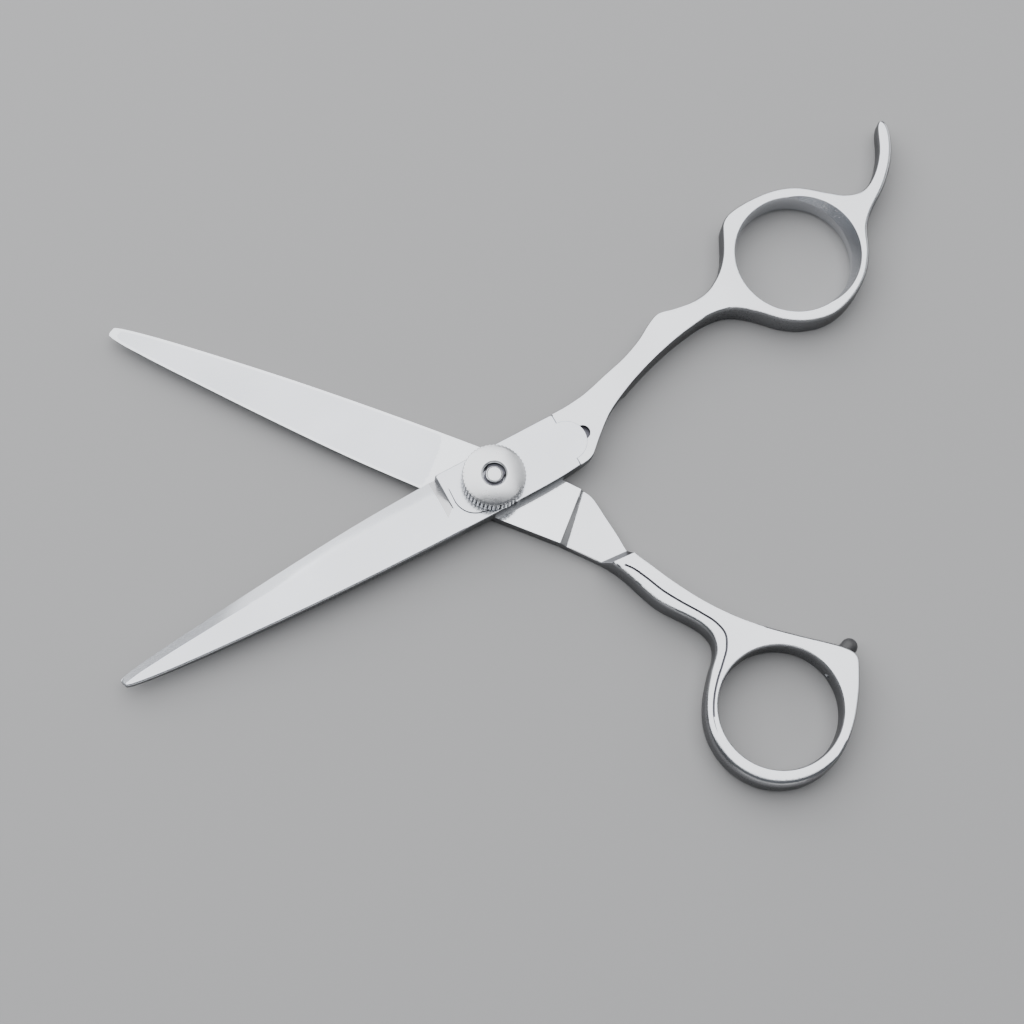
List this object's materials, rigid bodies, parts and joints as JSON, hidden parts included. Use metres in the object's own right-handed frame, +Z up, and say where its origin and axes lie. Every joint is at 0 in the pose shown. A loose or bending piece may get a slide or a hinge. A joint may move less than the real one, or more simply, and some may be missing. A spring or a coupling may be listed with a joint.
{
  "type": "hair cutting shears",
  "caption": "Offset-handle hair cutting shears with convex blades, a click-stop tension knob on a ball-bearing pivot, a fixed finger rest and a rubber bumper.",
  "frame": {"origin": "on the pivot axis, at the flat underside of the pivot screw's head, which lies in the plane that the shears rest on", "axes": "+Z up along the pivot axis towards the tension knob; the blades point to -X and the handles to +X, with the finger rest on the +Y side and the thumb ring on the -Y side; the shears lie half open, each half turned equally from the X axis"},
  "size_m": [0.1443, 0.1227, 0.0098],
  "materials": {
    "blade_steel": "finely ground stainless steel, satin to mirror",
    "handle_steel": "polished forged stainless steel",
    "knob_steel": "satin turned stainless steel, fluted rim",
    "screw_steel": "turned stainless steel",
    "bearing_steel": "polished bearing steel",
    "spring_steel": "blued spring steel",
    "bronze": "machined bronze",
    "bumper_rubber": "dark translucent rubber"
  },
  "bodies": {
    "thumb_half": {"thumb_blade": "blade_steel", "thumb_handle": "handle_steel", "pivot_screw": "screw_steel", "bearing_upper_race": "bearing_steel", "spring_washer": "spring_steel", "click_plate": "spring_steel", "bumper": "bumper_rubber", "bumper_stud": "screw_steel"},
    "finger_half": {"finger_blade": "blade_steel", "finger_handle": "handle_steel", "pivot_bush": "bronze", "bearing_lower_race": "bearing_steel"},
    "ball_cage": {"bearing_cage": "bronze", "bearing_balls": "bearing_steel"},
    "knob": {"tension_knob": "knob_steel", "detent_springs": "spring_steel", "detent_balls": "bearing_steel"}
  },
  "joints": [
    {"name": "pivot", "type": "hinge", "parent": "thumb_half", "child": "finger_half", "pos_m": [0, 0, 0], "axis": [0, 0, 1], "range_deg": [-50.5, 90]},
    {"name": "cage_turn", "type": "hinge", "parent": "thumb_half", "child": "ball_cage", "pos_m": [0, 0, 0.0052], "axis": [0, 0, 1], "range_deg": [-26, 46]},
    {"name": "knob_turn", "type": "hinge", "parent": "thumb_half", "child": "knob", "pos_m": [0, 0, 0.008], "axis": [0, 0, 1], "range_deg": [-90, 270]}
  ],
  "couplings": [
    {"joint": "cage_turn", "follows": "pivot", "ratio": 0.5}
  ]
}
